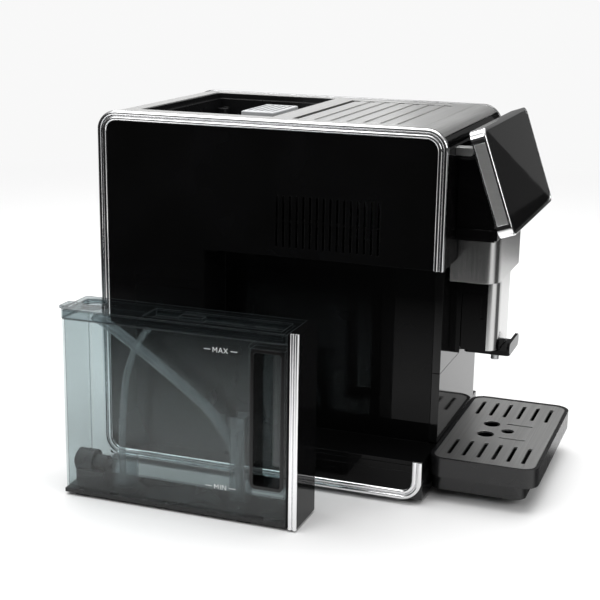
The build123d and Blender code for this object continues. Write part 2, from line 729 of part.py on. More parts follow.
with BuildPart() as drip_grid:
    plate(level(grid_top - grid_thick),
          (tray_x[0] + tray_rim + grid_fit, tray_x[1] - tray_rim - grid_fit),
          (tray_y[0] + tray_rim + grid_fit, tray_y[1] - tray_rim - grid_fit),
          tray_round - tray_rim - grid_fit, grid_thick)
    with BuildSketch(level(grid_top - grid_thick)) as grid_openings:
        with Locations((middle, slot_middle)):
            with GridLocations(2 * slot_spread, slot_pitch, 2, slot_rows):
                SlotOverall(slot_length, slot_width)
        with Locations((middle - 16, -39), (middle + 16, -39)):
            Circle(8.5)
        with Locations((middle, float_y)):
            Circle(6.5)
        with Locations((middle - 21.3, -67), (middle + 21.3, -67)):
            SlotOverall(27, 3, rotation=90)
    extrude(grid_openings.sketch, amount=grid_thick, mode=Mode.SUBTRACT)
finish(drip_grid, "drip_grid")

with BuildPart() as tray_float:
    rod(level(tray_low + tray_wall + clearance), middle, float_y, float_radius, 17)
    rod(level(tray_low + tray_wall + clearance + 17), middle, float_y, float_radius - 1, 8)
finish(tray_float, "tray_float")

# ---------------------------------------------------------------- inside
chassis_left = liner_right + 0.2
chassis_right = inner_right - wall - 0.2
sheet = 2
chassis_floor = foot_height + wall
shelf_z = 210
shelf_y = (160, 300)

with BuildPart() as chassis_frame:
    block((chassis_left, chassis_right), (12, base_back - wall - 0.2),
          (chassis_floor, chassis_floor + sheet))
    block((chassis_left, chassis_left + sheet), (12, base_back - wall - 0.2),
          (chassis_floor, well_floor - 5))
    block((chassis_right - sheet, chassis_right), (12, base_back - wall - 0.2),
          (chassis_floor, well_floor - 5))
    block((chassis_left, chassis_right), shelf_y, (shelf_z, shelf_z + sheet))
    block((chassis_left, chassis_right), (12, 12 + sheet), (bay_top + 8, 345))
    for window_y in (70, 150, 230):
        block((chassis_left, chassis_right), (window_y - 22, window_y + 22), (245, 285),
              Mode.SUBTRACT)
    rod(level(shelf_z), burr_x, burr_y, 15, sheet, Mode.SUBTRACT)
    for slot_y in (70, 290):
        block((chassis_left, chassis_right), (slot_y - 12, slot_y + 12), (20, 45), Mode.SUBTRACT)
finish(chassis_frame, "chassis_frame")

brew_x = (86, 166)
brew_y = (52, 146)
brew_low = 150
brew_high = 226
bore_radius = 23
bore_y = 99
brew_middle = (brew_x[0] + brew_x[1]) / 2

with BuildPart() as brew_unit:
    block(brew_x, brew_y, (brew_low, brew_high))
    block((chassis_left + sheet + 0.2, chassis_right - sheet - 0.2), (brew_y[0] + 8, brew_y[1] - 8),
          (brew_high, brew_high + 4))
    rod(level(brew_low), brew_middle, bore_y, bore_radius, brew_high - brew_low, Mode.SUBTRACT)
    rod(level(brew_low), brew_middle, bore_y, 7, brew_high - brew_low + 4, Mode.SUBTRACT)
    for post_x in (brew_x[0] + 8, brew_x[1] - 8):
        rod(level(brew_high + 4), post_x, bore_y, 5, 46)
    block((brew_x[0], brew_x[1]), (bore_y - 10, bore_y + 10), (brew_high + 50, brew_high + 56))
    rod(level(brew_high + 50), brew_middle, bore_y, 7, 6, Mode.SUBTRACT)
finish(brew_unit, "brew_unit")

piston_play = 0.4
piston_low = 186

with BuildPart() as brew_piston:
    rod(level(piston_low), brew_middle, bore_y, bore_radius - piston_play, 18)
    rod(level(piston_low + 18), brew_middle, bore_y, 6.5, 88)
    rod(level(piston_low + 6), brew_middle, bore_y, bore_radius, 3, Mode.SUBTRACT)
    rod(level(piston_low + 6), brew_middle, bore_y, bore_radius - 2, 3)
finish(brew_piston, "brew_piston")

with BuildPart() as brew_motor:
    rod(level(brew_high + 4), 194, bore_y, 16, 48)
    rod(level(brew_high + 52), 194, bore_y, 4, 8)
    block((176, 212), (bore_y - 18, bore_y + 18), (brew_high + 4, brew_high + 14))
finish(brew_motor, "brew_motor")

grinder_radius = 40
grinder_floor = shelf_z + sheet

with BuildPart() as grinder_body:
    rod(level(grinder_floor), burr_x, burr_y, grinder_radius, well_floor - grinder_floor)
    rod(level(well_floor - 34), burr_x, burr_y, chute_radius, 34, Mode.SUBTRACT)
    rod(level(grinder_floor), burr_x, burr_y, 8, well_floor - grinder_floor, Mode.SUBTRACT)
    block((burr_x - 14, burr_x + 14), (brew_y[1] + 4, burr_y - 30),
          (grinder_floor + 10, grinder_floor + 34))
    block((burr_x - 10, burr_x + 10), (brew_y[1] + 3, burr_y - 31),
          (grinder_floor + 14, grinder_floor + 30), Mode.SUBTRACT)
finish(grinder_body, "grinder_body")

with BuildPart() as burr:
    with BuildSketch(side(burr_x)) as burr_profile:
        with BuildLine():
            Polyline((burr_y, well_floor - 32), (burr_y + 20, well_floor - 32),
                     (burr_y + 20, well_floor - 26), (burr_y + 8, well_floor - 8),
                     (burr_y, well_floor - 8), close=True)
        make_face()
    revolve(burr_profile.sketch, Axis((left + burr_x, front + burr_y, 0), (0, 0, 1)))
    rod(level(shelf_z - 8), burr_x, burr_y, 6, well_floor - 32 - shelf_z + 8)
    for turn in range(8):
        with Locations(Location((left + burr_x, front + burr_y, well_floor - 17), (0, 0, turn * 45))):
            with Locations(Location((15, 0, 0), (0, 30, 0))):
                Box(3, 1.5, 26, mode=Mode.SUBTRACT)
finish(burr, "burr")

with BuildPart() as grinder_motor:
    rod(level(shelf_z - 74), burr_x, burr_y, 29, 70)
    rod(level(shelf_z - 4), burr_x, burr_y, 34, 4)
    rod(level(shelf_z - 40), burr_x, burr_y, 7, 40, Mode.SUBTRACT)
finish(grinder_motor, "grinder_motor")

boiler_x = 196
boiler_z = 160
boiler_y = (196, 322)
boiler_radius = 27

with BuildPart() as boiler:
    rod(face(boiler_y[1]), boiler_x, boiler_z, boiler_radius, boiler_y[1] - boiler_y[0])
    for clamp_y in (boiler_y[0] + 20, boiler_y[1] - 20):
        rod(face(clamp_y + 5), boiler_x, boiler_z, boiler_radius + 2, 10)
        block((boiler_x, chassis_right - sheet - 0.2), (clamp_y - 5, clamp_y + 5),
              (boiler_z - 12, boiler_z + 12))
    rod(level(boiler_z), boiler_x, boiler_y[0] + 8, 4, boiler_radius + 12)
    rod(level(boiler_z - boiler_radius - 10), boiler_x, boiler_y[1] - 36, 4, 20)
finish(boiler, "boiler")

pump_x = (82, 128)
pump_y = (246, 318)
pump_z = (chassis_floor + sheet, 62)

with BuildPart() as pump:
    block(pump_x, pump_y, pump_z)
    fillet(pump.edges().filter_by(Axis.Y), 4)
    rod(face(pump_y[0]), (pump_x[0] + pump_x[1]) / 2, 36, 9, 22)
    rod(face(pump_y[0] - 22), (pump_x[0] + pump_x[1]) / 2, 36, 4, 12)
    rod(level(pump_z[1]), (pump_x[0] + pump_x[1]) / 2, pump_y[0] + 20, 4, 14)
finish(pump, "pump")

meter_x = 150
meter_y = 196

with BuildPart() as flow_meter:
    rod(level(chassis_floor + sheet), meter_x, meter_y, 15, 18)
    rod(face(meter_y + 28), meter_x, 22, 3.5, 56)
finish(flow_meter, "flow_meter")

board_thick = 1.6

with BuildPart() as power_board:
    block((92, 176), (rear_front - 12, rear_front - 12 + board_thick), (215, 318))
    for post_x in (98, 170):
        for post_z in (221, 312):
            rod(face(rear_front - 0.1), post_x, post_z, 3, 11)
    block((100, 122), (rear_front - 34, rear_front - 12), (226, 262))
    rod(face(rear_front - 12), 150, 246, 9, 24)
    block((130, 168), (rear_front - 26, rear_front - 12), (276, 306))
finish(power_board, "power_board")

with BuildPart() as control_board:
    block((72, 168), (12 + sheet + 5, 12 + sheet + 5 + board_thick), (262, 336))
    for post_x in (78, 162):
        for post_z in (268, 330):
            rod(face(12 + sheet + 5), post_x, post_z, 3, 5 - 0.1)
    block((92, 122), (12 + sheet + 6, 12 + sheet + 12), (285, 315))
    block((136, 158), (12 + sheet + 6, 12 + sheet + 16), (272, 286))
finish(control_board, "control_board")

def tube(points, radius):
    """Hose along straight runs joined by wide tangent arcs, between points in the machine frame."""
    places = [Vector(left + x, front + y, z) for x, y, z in points]
    bends = []
    for before, here, after in zip(places, places[1:], places[2:]):
        run_in = here - before
        run_out = after - here
        turn = math.radians(run_in.get_angle(run_out))
        bends.append(0.45 * min(run_in.length, run_out.length) / math.tan(turn / 2))
    with BuildLine() as path:
        FilletPolyline(*places, radius=bends)
    with BuildSketch(Plane(origin=places[0], z_dir=places[1] - places[0])) as ring:
        Circle(radius)
    sweep(ring.sketch, path=path.line)


with BuildPart() as water_tubes:
    tube(((socket_x, liner_back + clearance, socket_z), (socket_x, 292, socket_z),
          (socket_x, 292, 26), (pump_x[0] - 8, 292, 26)), hose_radius)
    tube((((pump_x[0] + pump_x[1]) / 2, pump_y[0] + 20, pump_z[1] + 14.2),
          ((pump_x[0] + pump_x[1]) / 2, pump_y[0] + 20, 112),
          (boiler_x, pump_y[0] + 20, 112), (boiler_x, boiler_y[1] - 36, 112),
          (boiler_x, boiler_y[1] - 36, boiler_z - boiler_radius - 10.2)), hose_radius)
finish(water_tubes, "water_tubes")

# ---------------------------------------------------------------- water tank
tank_thick = bay_depth - 4.5
tank_long = bay_back + head_step - tank_gap
tank_tall = bay_top - bay_floor - tank_gap - tank_foot
strip_width = 8.6
strip_depth = 3
strip_over = 1             # the strip stands past the tank's front block, top and bottom
front_thick = 10.3
base_thick = 4
lid_low = tank_tall - 10
grip_y = (13.3, 46)
grip_z = (34.5, 168.5)
grip_wall = 3
grip_depth = 25
port_x = 35
port_y = 222
port_radius = 12
valve_x = 27
valve_z = 25


def tank_place(x=0, y=0, z=0):
    """A point of the tank's own frame, given in the machine frame."""
    return (x - tank_out, y + tank_behind, z + tank_foot)


def tank_block(x, y, z, mode=Mode.ADD):
    """Box between two corners in the tank's frame."""
    low = tank_place(x[0], y[0], z[0])
    high = tank_place(x[1], y[1], z[1])
    block((low[0], high[0]), (low[1], high[1]), (low[2], high[2]), mode)


def tank_rod(axis, at, radius, length, mode=Mode.ADD):
    """Cylinder in the tank's frame, from a point along +X, +Y or +Z."""
    x, y, z = tank_place(*at)
    turn = {"X": (0, 90, 0), "Y": (-90, 0, 0), "Z": (0, 0, 0)}[axis]
    with Locations(Location((left + x, front + y, z), turn)):
        Cylinder(radius, length, align=(Align.CENTER, Align.CENTER, Align.MIN), mode=mode)


def tank_side(x):
    """Upright plane in the tank's frame: local x is back, y is up."""
    place = tank_place(x)
    return Plane(origin=(left + place[0], front + place[1], place[2]),
                 x_dir=(0, 1, 0), z_dir=(1, 0, 0))


with BuildPart() as tank_base:
    tank_block((0.8, tank_thick - 0.5), (front_thick + 0.2, tank_long), (0, base_thick))
    for foot_y in (54, 224):
        for foot_x in (5, tank_thick - 13):
            tank_block((foot_x, foot_x + 8), (foot_y - 7, foot_y + 7), (-tank_foot, 0))
finish(tank_base, "tank_base")

with BuildPart() as tank_front:
    tank_block((0.8, tank_thick), (0, front_thick), (0, tank_tall))
    fillet(tank_front.edges().filter_by(Axis.Z).sort_by(Axis.Y)[:2], 2)
    tank_block((0, strip_depth + 0.1), (-1, strip_width + 0.1), (-1, tank_tall + 1), Mode.SUBTRACT)
finish(tank_front, "tank_front")

with BuildPart() as tank_trim:
    with BuildSketch(tank_side(0)) as strip_shape:
        with Locations((strip_width / 2, tank_tall / 2)):
            RectangleRounded(strip_width, tank_tall + 2 * strip_over, 3)
    extrude(strip_shape.sketch, amount=strip_depth)
    tank_block((0, groove_depth), ((strip_width - groove) / 2, (strip_width + groove) / 2),
               (2, tank_tall - 2), Mode.SUBTRACT)
finish(tank_trim, "tank_trim")

shell_x = (0.8, tank_thick - 0.8)
shell_y = (front_thick + 0.2, tank_long - 0.5)
shell_low = base_thick + 0.2

with BuildPart() as tank_shell:
    tank_block(shell_x, shell_y, (shell_low, lid_low))
    fillet(tank_shell.edges().filter_by(Axis.Z).sort_by(Axis.Y)[-2:], 4)
    tank_block((shell_x[0] + tank_wall, shell_x[1] - tank_wall),
               (shell_y[0] + tank_wall, shell_y[1] - tank_wall),
               (shell_low + tank_wall, tank_tall), Mode.SUBTRACT)
    tank_block((shell_x[0], grip_depth + 2.7), (shell_y[0], grip_y[1] + 2.7),
               (grip_z[0] - 2.7, grip_z[1] + 2.7))
    tank_block((-1, grip_depth + 0.2), (grip_y[0] - 0.2, grip_y[1] + 0.2),
               (grip_z[0] - 0.2, grip_z[1] + 0.2), Mode.SUBTRACT)
    tank_rod("Y", (valve_x, shell_y[1] - tank_wall - 1, valve_z), 8.3, tank_wall + 2, Mode.SUBTRACT)
finish(tank_shell, "tank_shell")

with BuildPart() as tank_grip:
    plate(tank_side(0.3), grip_y, grip_z, 5, grip_depth - 0.3)
    plate(tank_side(0.3), (grip_y[0] + grip_wall, grip_y[1] - grip_wall),
          (grip_z[0] + grip_wall, grip_z[1] - grip_wall), 3, grip_depth - 0.3, Mode.SUBTRACT)
finish(tank_grip, "tank_grip")

recess_x = (8, 37)
recess_y = (19, 157)
recess_deep = 7

with BuildPart() as tank_lid:
    tank_block((0.2, tank_thick - 0.2), (front_thick + 0.2, tank_long), (lid_low + 0.3, tank_tall))
    fillet(tank_lid.edges().filter_by(Axis.Z).sort_by(Axis.Y)[-2:], 4)
    tank_block((2.2, tank_thick - 2.2), (front_thick + 2.2, tank_long - 2),
               (lid_low, tank_tall - 2), Mode.SUBTRACT)
    tank_block((recess_x[0] - 1.5, recess_x[1] + 1.5), (recess_y[0] - 1.5, recess_y[1] + 1.5),
               (tank_tall - recess_deep - 1.5, tank_tall))
    tank_block(recess_x, recess_y, (tank_tall - recess_deep, tank_tall), Mode.SUBTRACT)
    tank_block((recess_x[1] - 9, recess_x[1]), (106, 130),
               (tank_tall - recess_deep, tank_tall - 3))
    tank_rod("Z", (port_x, port_y, tank_tall - 5), port_radius + 1.5, 5)
    tank_rod("Z", (port_x, port_y, 0), port_radius, tank_tall + 5, Mode.SUBTRACT)
    tank_block((17, 35), (tank_long, tank_long + 10), (tank_tall - 5, tank_tall - 2))
finish(tank_lid, "tank_lid")

cup_y = 188
cup_radius = 13
holder_y = (61.5, 77)
holder_x = (25.8, 44.2)
holder_high = 91
holder_open = 38           # the holder's back wall ends here, where the hoses come in

with BuildPart() as tank_valve:
    tank_rod("Y", (valve_x, tank_long - 21, valve_z), 12, 17.8)
    tank_rod("Y", (valve_x, tank_long - 4, valve_z), 8, 3.5)
    tank_rod("Y", (valve_x, tank_long - 34, valve_z), 7.5, 13)
    tank_rod("Y", (valve_x, cup_y + cup_radius - 1, valve_z), 5, tank_long - 34 - cup_y - cup_radius + 1)
    tank_block((valve_x - 13, valve_x + 13), (tank_long - 34, tank_long - 5),
               (shell_low + tank_wall + 0.1, valve_z - 6))
    tank_rod("Y", (valve_x, tank_long - 12, valve_z), 4, 12, Mode.SUBTRACT)
finish(tank_valve, "tank_valve")

with BuildPart() as clear_fittings:
    tank_rod("Z", (valve_x, cup_y, shell_low + tank_wall + 0.1), cup_radius, 28)
    tank_rod("Z", (valve_x, cup_y, shell_low + tank_wall + 2.5), cup_radius - 1.8, 40, Mode.SUBTRACT)
    tank_rod("Y", (valve_x, cup_y + 5, valve_z), 5.3, 20, Mode.SUBTRACT)
    tank_block(holder_x, holder_y, (shell_low + tank_wall + 0.1, holder_high))
    tank_block((holder_x[0] + 1.5, holder_x[1] - 1.5), (holder_y[0] + 1.5, holder_y[1] - 1.5),
               (shell_low + tank_wall + 2, holder_high + 1), Mode.SUBTRACT)
    tank_block((holder_x[0] + 1.5, holder_x[1] - 1.5), (holder_y[1] - 2, holder_y[1] + 1),
               (holder_open, holder_high + 1), Mode.SUBTRACT)
finish(clear_fittings, "clear_fittings")

tank_hose_radius = 3.2
suction_x = 21
hose_spread = 4
holder_mid = (holder_y[0] + holder_y[1]) / 2


def tank_tube(points):
    """Hose in the tank's frame."""
    tube([tank_place(*point) for point in points], tank_hose_radius)


with BuildPart() as tank_hoses:
    tank_tube(((suction_x, cup_y, shell_low + tank_wall + 2.8), (suction_x, cup_y, 60),
               (suction_x, 183, 118), (suction_x, 172, 150), (suction_x, 158, 169)))
    for hose_x in (port_x - hose_spread, port_x + hose_spread):
        tank_tube(((hose_x, port_y, lid_low - 4), (hose_x, 207, 163.5), (hose_x, 184, 149.5),
                   (hose_x, 161, 134.5), (hose_x, 137, 118.2), (hose_x, 113, 101.2),
                   (hose_x, 96.5, 87), (hose_x, 86, 73), (hose_x, 77, 58), (hose_x, 71, 43),
                   (hose_x, holder_mid, 27),
                   (hose_x, holder_mid, shell_low + tank_wall + 2.3)))
finish(tank_hoses, "tank_hoses")

mark_stroke = 0.5
mark_height = 4.8
max_z = 161
min_z = 28
letters = {
    "M": (((0, 0), (0, 1)), ((0, 1), (0.4, 0.35)), ((0.4, 0.35), (0.8, 1)), ((0.8, 1), (0.8, 0))),
    "A": (((0, 0), (0.4, 1)), ((0.4, 1), (0.8, 0)), ((0.18, 0.35), (0.62, 0.35))),
    "X": (((0, 0), (0.8, 1)), ((0, 1), (0.8, 0))),
    "I": (((0.1, 0), (0.1, 1)),),
    "N": (((0, 0), (0, 1)), ((0, 1), (0.75, 0)), ((0.75, 0), (0.75, 1))),
}
letter_step = {"M": 1.15, "A": 1.05, "X": 1.05, "I": 0.5, "N": 1.05}


def level_mark(word, z):
    """A word of plain strokes between two dashes, read from outside the tank."""
    place = tank_place(shell_x[0])
    outside = Plane(origin=(left + place[0], front + place[1] + 75, place[2] + z),
                    x_dir=(0, -1, 0), z_dir=(-1, 0, 0))
    total = sum(letter_step[letter] for letter in word) * mark_height
    start = -total / 2
    with BuildSketch(outside) as strokes:
        for letter in word:
            for (x0, y0), (x1, y1) in letters[letter]:
                with BuildLine() as stroke:
                    Line((start + x0 * mark_height, y0 * mark_height),
                         (start + x1 * mark_height, y1 * mark_height))
                trace(line_width=mark_stroke)
            start += letter_step[letter] * mark_height
        for dash in (-1, 1):
            with Locations((dash * (total / 2 + 5.5) - 0.4, mark_height / 2)):
                Rectangle(6.5, mark_stroke)
    extrude(strokes.sketch, amount=0.2)


with BuildPart() as level_marks:
    level_mark("MAX", max_z)
    level_mark("MIN", min_z)
finish(level_marks, "level_marks")
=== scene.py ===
# %% [markdown]
# # A bean-to-cup coffee machine with its water tank taken out
# The machine is a black box between two chrome trims, with a steel top, a tilting
# display, a spout on a slide and a drip tray. Its tank stands beside it. The packed
# CAD model already has every shape at its real size, so this lesson dresses it:
# finishes first, then the few pieces whose soft edges CAD leaves out.

# %% Load the frame
import json
import math

import bmesh
import bpy
from mathutils import Matrix, Vector


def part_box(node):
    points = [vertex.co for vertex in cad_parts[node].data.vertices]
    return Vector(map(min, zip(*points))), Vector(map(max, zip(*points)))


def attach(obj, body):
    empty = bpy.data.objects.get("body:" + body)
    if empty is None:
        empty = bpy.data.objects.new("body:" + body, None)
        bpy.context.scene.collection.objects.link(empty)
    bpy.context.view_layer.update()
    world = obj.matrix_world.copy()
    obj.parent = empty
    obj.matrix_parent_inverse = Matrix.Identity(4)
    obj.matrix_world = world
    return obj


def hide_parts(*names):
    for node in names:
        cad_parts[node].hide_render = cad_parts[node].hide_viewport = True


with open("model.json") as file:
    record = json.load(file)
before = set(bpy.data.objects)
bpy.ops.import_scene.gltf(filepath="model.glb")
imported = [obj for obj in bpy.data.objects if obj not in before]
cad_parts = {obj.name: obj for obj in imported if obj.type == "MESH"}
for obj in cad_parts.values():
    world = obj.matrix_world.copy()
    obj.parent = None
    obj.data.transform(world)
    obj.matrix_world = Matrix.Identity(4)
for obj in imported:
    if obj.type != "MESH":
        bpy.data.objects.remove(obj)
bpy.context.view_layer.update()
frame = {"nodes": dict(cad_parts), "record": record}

nodes = frame["nodes"]

# %% [markdown]
# ## Units
# The frame is in metres, but a machine like this is drawn in millimetres, so sizes
# below are written as so many `MM`. Places are read from the CAD nodes' boxes.

# %% Units
MM = 0.001

# %% [markdown]
# ## The camera
# It stands to the machine's left at about the height of a seated viewer, a little
# ahead of it, and looks slightly down. A long lens keeps the box's edges nearly
# parallel. The turn is built from yaw, pitch and a trace of roll.

# %% Camera
camera_place = Vector((-1.21403, -0.40551, 0.50976))
camera_yaw = 0.3474
camera_pitch = -0.2539
camera_roll = 0.0159
camera_lens = 78.6


def camera_turn(yaw, pitch, roll):
    """Rotation of a camera that looks along +X at yaw 0, turned toward +Y by yaw."""
    ahead = Vector((math.cos(pitch) * math.cos(yaw), math.cos(pitch) * math.sin(yaw),
                    math.sin(pitch)))
    right = ahead.cross(Vector((0, 0, 1))).normalized()
    up = right.cross(ahead)
    across = math.cos(roll) * right + math.sin(roll) * up
    upward = math.cos(roll) * up - math.sin(roll) * right
    return Matrix((across, upward, -ahead)).transposed()


camera_data = bpy.data.cameras.new("camera")
camera_data.lens = camera_lens
camera_data.sensor_width = 36
camera = bpy.data.objects.new("camera", camera_data)
camera.matrix_world = (Matrix.Translation(camera_place)
                       @ camera_turn(camera_yaw, camera_pitch, camera_roll).to_4x4())
bpy.context.scene.collection.objects.link(camera)
bpy.context.scene.camera = camera
bpy.context.scene.view_settings.view_transform = "Standard"
print("camera at", tuple(round(v, 3) for v in camera_place))

# %% [markdown]
# ## Shader maths as plain expressions
# A finish is a small graph. Written node by node it is hard to read, so a wrapper
# turns sockets into numbers: `0.1 + 0.2 * grain` adds the two Math nodes itself.
# `Finish.node` makes every other node from its type, settings and inputs.

# %% Socket and finish helpers


class Value:
    """A socket that takes part in sums."""

    def __init__(self, finish, socket):
        self.finish = finish
        self.socket = socket

    def maths(self, operation, first, second):
        return self.finish.node("ShaderNodeMath", {"operation": operation}, {0: first, 1: second})

    def __add__(self, other):
        return self.maths("ADD", self, other)

    def __radd__(self, other):
        return self.maths("ADD", other, self)

    def __sub__(self, other):
        return self.maths("SUBTRACT", self, other)

    def __rsub__(self, other):
        return self.maths("SUBTRACT", other, self)

    def __mul__(self, other):
        return self.maths("MULTIPLY", self, other)

    def __rmul__(self, other):
        return self.maths("MULTIPLY", other, self)


class Finish:
    """A material's node tree, with one method that adds any node."""

    def __init__(self, name, owner=None):
        self.owner = owner or bpy.data.materials.new(name)
        self.owner.use_nodes = True
        self.tree = self.owner.node_tree
        self.tree.nodes.clear()

    def node(self, kind, settings=None, inputs=None, output=0):
        made = self.tree.nodes.new(kind)
        for name, value in (settings or {}).items():
            if name == "stops":
                self.fill_ramp(made.color_ramp, value)
            else:
                setattr(made, name, value)
        for key, value in (inputs or {}).items():
            if isinstance(value, Value):
                self.tree.links.new(value.socket, made.inputs[key])
            else:
                made.inputs[key].default_value = value
        return Value(self, made.outputs[output]) if made.outputs else made

    @staticmethod
    def fill_ramp(ramp, stops):
        while len(ramp.elements) < len(stops):
            ramp.elements.new(0.5)
        for element, (position, shade) in zip(ramp.elements, stops):
            element.position = position
            element.color = (shade, shade, shade, 1)

    def place(self, scale=(1, 1, 1)):
        """Object coordinates in metres, stretched by scale."""
        where = self.node("ShaderNodeTexCoord", output="Object")
        return self.node("ShaderNodeMapping", {}, {"Vector": where, "Scale": scale})

    def noise(self, scale, stretch=(1, 1, 1), detail=2, roughness=0.5):
        return self.node("ShaderNodeTexNoise", {},
                         {"Vector": self.place(stretch), "Scale": scale, "Detail": detail,
                          "Roughness": roughness}, output="Fac")

    def band(self, value, low, high, from_shade=0.0, to_shade=1.0):
        """Map a value's range onto another, clamped."""
        return self.node("ShaderNodeMapRange", {"clamp": True},
                         {"Value": value, "From Min": low, "From Max": high,
                          "To Min": from_shade, "To Max": to_shade})

    def blend(self, factor, first, second):
        return self.node("ShaderNodeMix", {"data_type": "RGBA"},
                         {0: factor, 6: first, 7: second}, output=2)

    def bump(self, height, strength, depth, normal=None):
        inputs = {"Height": height, "Strength": strength, "Distance": depth}
        if normal is not None:
            inputs["Normal"] = normal
        return self.node("ShaderNodeBump", {}, inputs)

    def soft_edges(self, radius):
        return self.node("ShaderNodeBevel", {"samples": 4}, {"Radius": radius})

    def surface(self, **sockets):
        named = {key.replace("_", " "): value for key, value in sockets.items()}
        shader = self.node("ShaderNodeBsdfPrincipled", {}, named)
        return self.output(shader)

    def output(self, shader):
        self.node("ShaderNodeOutputMaterial", {}, {"Surface": shader})
        return self.owner


def tone(*rgb):
    return (*rgb, 1) if len(rgb) == 3 else (rgb[0], rgb[0], rgb[0], 1)


print("helpers ready")

# %% [markdown]
# ## Gloss black plastic
# The sides, front and head are polished black plastic that mirrors the room. Moulded
# gloss is never quite flat: a very shallow ripple bends the reflections, and a haze
# of wiping marks lifts the roughness here and there. Soft edges catch a thin light.

# %% Gloss black


def gloss_black(name, shade=0.0025, mirror=0.12, polish=0.02):
    f = Finish(name)
    haze = f.band(f.noise(14, detail=3), 0.35, 0.75)
    fine = f.noise(260, detail=1)
    colour = f.blend(haze, tone(shade), tone(shade * 1.5, shade * 1.5, shade * 1.6))
    ripple = f.bump(f.noise(22, detail=1), 0.03, 0.0006, f.soft_edges(0.0006))
    return f.surface(Base_Color=colour, Roughness=polish + 0.03 * haze + 0.008 * fine,
                     Specular_IOR_Level=mirror, Normal=ripple)


FINISHES = {
    "gloss_black": gloss_black("gloss_black"),
    "display_glass": gloss_black("display_glass", 0.0018, 0.35, 0.012),
}
FRONT_GLOSS = gloss_black("front_gloss", 0.004, 0.3, 0.05)
print("gloss finishes:", list(FINISHES))

# %% [markdown]
# ## Satin black plastic
# Trays, frames and hidden mouldings have a fine spark-eroded texture. Two noises
# make it: a dense one for the grain and a slow one for uneven sheen.

# %% Satin black and coloured plastics


def moulded(name, colour, roughness=0.42, grain=1400, depth=0.00008, spread=0.1):
    f = Finish(name)
    sheen = f.noise(30, detail=2)
    texture = f.noise(grain, detail=2)
    r, g, b = colour
    tint = f.blend(f.band(sheen, 0.3, 0.7), tone(r * 0.9, g * 0.9, b * 0.9),
                   tone(min(1, r * 1.08), min(1, g * 1.08), min(1, b * 1.08)))
    return f.surface(Base_Color=tint, Roughness=roughness - spread / 2 + spread * sheen,
                     Normal=f.bump(texture, 0.35, depth, f.soft_edges(0.0005)))


FINISHES["satin_black"] = moulded("satin_black", (0.006, 0.006, 0.0065), 0.27, depth=0.00004)
HIDDEN_BLACK = moulded("hidden_black", (0.004, 0.004, 0.0042), 0.5)
GRIP_GLOSS = gloss_black("grip_gloss", 0.003, 0.35, 0.06)
FINISHES["rubber"] = moulded("rubber", (0.02, 0.02, 0.02), 0.75, 900)
FINISHES["grey_plastic"] = moulded("grey_plastic", (0.55, 0.56, 0.57), 0.38)
FINISHES["white_plastic"] = moulded("white_plastic", (0.8, 0.8, 0.78), 0.35)
FINISHES["white_print"] = moulded("white_print", (0.85, 0.86, 0.86), 0.5, 2500)
FINISHES["board_green"] = moulded("board_green", (0.01, 0.09, 0.035), 0.3, 600)
print("plastics:", len(FINISHES))

# %% [markdown]
# ## Metals
# Chrome is a near mirror whose plating softens slightly. Brushed steel has streaks
# that run one way: noise stretched a hundredfold along the grain drives both the
# colour and the roughness, and a shallow bump makes the highlight smear across it.

# %% Chrome, steel and cast metal


def chrome(name):
    f = Finish(name)
    haze = f.noise(35, detail=3)
    return f.surface(Base_Color=f.blend(haze, tone(0.80, 0.80, 0.81), tone(0.9, 0.9, 0.905)),
                     Metallic=1.0, Roughness=0.07 + 0.06 * haze,
                     Normal=f.bump(f.noise(300, detail=1), 0.04, 0.0001, f.soft_edges(0.0004)))


def brushed(name, grain, dark=0.42, light=0.6, roughness=0.15):
    f = Finish(name)
    streaks = f.noise(1, grain, detail=4, roughness=0.65)
    cloud = f.noise(9, detail=2)
    level = f.band(streaks, 0.3, 0.7)
    colour = f.blend(level, tone(dark, dark, dark * 0.99), tone(light, light, light * 0.99))
    return f.surface(Base_Color=colour, Metallic=1.0,
                     Roughness=roughness + 0.08 * level + 0.05 * cloud,
                     Normal=f.bump(streaks, 0.08, 0.00008, f.soft_edges(0.0005)))


def plated(name, colour, roughness, mottle=180):
    f = Finish(name)
    grains = f.noise(mottle, detail=3)
    r, g, b = colour
    return f.surface(Base_Color=f.blend(grains, tone(r * 0.8, g * 0.8, b * 0.8), tone(r, g, b)),
                     Metallic=1.0, Roughness=roughness + 0.12 * grains,
                     Normal=f.bump(grains, 0.2, 0.00015, f.soft_edges(0.0005)))


ALONG_X = (8, 2600, 2600)
AROUND = (12, 12, 3200)
UPRIGHT = (2600, 2600, 10)
FINISHES["chrome"] = chrome("chrome")
FINISHES["brushed_steel"] = brushed("brushed_steel", ALONG_X, 0.54, 0.74, 0.27)
FINISHES["zinc_steel"] = plated("zinc_steel", (0.6, 0.61, 0.62), 0.3, 90)
FINISHES["motor_steel"] = plated("motor_steel", (0.4, 0.41, 0.42), 0.35)
FINISHES["cast_alloy"] = plated("cast_alloy", (0.6, 0.6, 0.6), 0.45, 500)
FINISHES["burr_steel"] = plated("burr_steel", (0.55, 0.55, 0.56), 0.22, 400)
BAND_STEEL = brushed("band_steel", UPRIGHT, 0.42, 0.62, 0.14)
UPRIGHT_STEEL = brushed("upright_steel", UPRIGHT, 0.44, 0.62, 0.12)
INSERT_STEEL = brushed("insert_steel", AROUND, 0.62, 0.74, 0.34)
print("metals added:", len(FINISHES))
